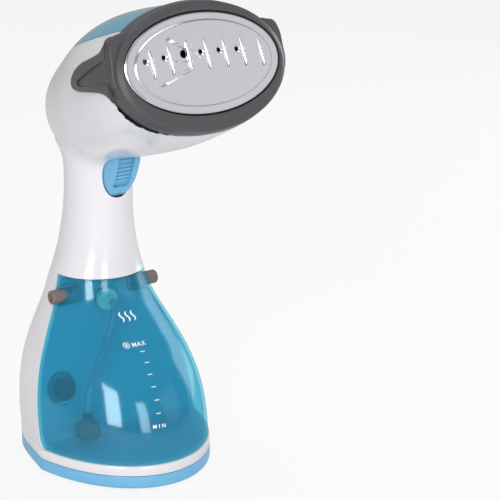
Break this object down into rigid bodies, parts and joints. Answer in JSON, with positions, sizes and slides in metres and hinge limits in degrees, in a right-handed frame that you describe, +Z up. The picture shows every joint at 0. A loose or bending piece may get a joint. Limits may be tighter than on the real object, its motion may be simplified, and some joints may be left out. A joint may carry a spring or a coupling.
{
  "type": "handheld garment steamer",
  "caption": "Upright handheld garment steamer standing on its base, with an oval steam plate, finger trigger and clear lift-off water tank.",
  "frame": {"origin": "on the ground, under the middle of the overall box", "axes": "+Z up; the steam plate faces -Y and the spine of the handle faces +Y; X = 0 is the plane of symmetry"},
  "size_m": [0.1204, 0.1566, 0.2962],
  "materials": {
    "white_shell": "gloss",
    "blue_cover": "gloss",
    "light_blue": "satin",
    "tank_blue": "clear tinted plastic",
    "bezel_grey": "satin",
    "button_grey": "satin",
    "black_rubber": "matt",
    "dark_plastic": "matt",
    "natural_plastic": "satin",
    "clear_hose": "clear soft plastic",
    "polished_plate": "polished",
    "steel": "zinc plated",
    "cast_aluminium": "as cast",
    "brass": "machined"
  },
  "bodies": {
    "housing": {"main_housing": "white_shell", "rear_cover": "white_shell", "top_cover": "blue_cover", "cover_screw_left": "steel", "cover_screw_right": "steel", "cover_screw_top": "steel", "base_screw_front_left": "steel", "base_screw_front_right": "steel", "base_screw_rear_left": "steel", "base_screw_rear_right": "steel", "base_plate": "light_blue", "base_rim": "white_shell", "spigot_seal": "black_rubber", "bezel": "bezel_grey", "plate_gasket": "black_rubber", "steam_plate": "polished_plate", "steam_chamber": "cast_aluminium", "chamber_cover": "steel", "chamber_screw_upper_left": "steel", "chamber_screw_upper_right": "steel", "chamber_screw_lower_left": "steel", "chamber_screw_lower_right": "steel", "chamber_inlet": "brass", "heater_terminal_left": "steel", "heater_terminal_right": "steel", "thermostat": "dark_plastic", "thermal_fuse": "natural_plastic", "trigger_pivot": "steel", "trigger_spring": "steel", "trigger_switch": "dark_plastic", "pump": "dark_plastic", "pump_inlet_hose": "clear_hose", "pump_outlet_hose": "clear_hose", "terminal_block": "natural_plastic", "cord_gland": "black_rubber", "foot_front_left": "black_rubber", "foot_front_right": "black_rubber", "foot_rear_left": "black_rubber", "foot_rear_right": "black_rubber"},
    "trigger": {"trigger": "light_blue"},
    "tank": {"water_tank": "tank_blue", "tank_back_wall": "tank_blue", "tank_filler_plug": "black_rubber", "tank_spigot": "natural_plastic", "suction_tube": "clear_hose", "suction_filter": "dark_plastic", "button_spring_left": "steel", "button_spring_right": "steel"},
    "release_left": {"release_button_left": "button_grey"},
    "release_right": {"release_button_right": "button_grey"}
  },
  "joints": [
    {"name": "trigger_pull", "type": "hinge", "parent": "housing", "child": "trigger", "pos_m": [0, 0.02328, 0.203], "axis": [1, 0, 0], "range_deg": [0, 7], "stiffness_Nm_per_rad": 0.7, "springref_deg": -3.44, "deforming": ["trigger_spring"]},
    {"name": "tank_slide", "type": "slide", "parent": "housing", "child": "tank", "axis": [0, -1, 0], "range_m": [0, 0.1]},
    {"name": "release_left_press", "type": "slide", "parent": "tank", "child": "release_left", "axis": [1, 0, 0], "range_m": [0, 0.003], "stiffness_N_per_m": 700, "springref_m": -0.002, "deforming": ["button_spring_left"]},
    {"name": "release_right_press", "type": "slide", "parent": "tank", "child": "release_right", "axis": [-1, 0, 0], "range_m": [0, 0.003], "stiffness_N_per_m": 700, "springref_m": -0.002, "deforming": ["button_spring_right"]}
  ]
}
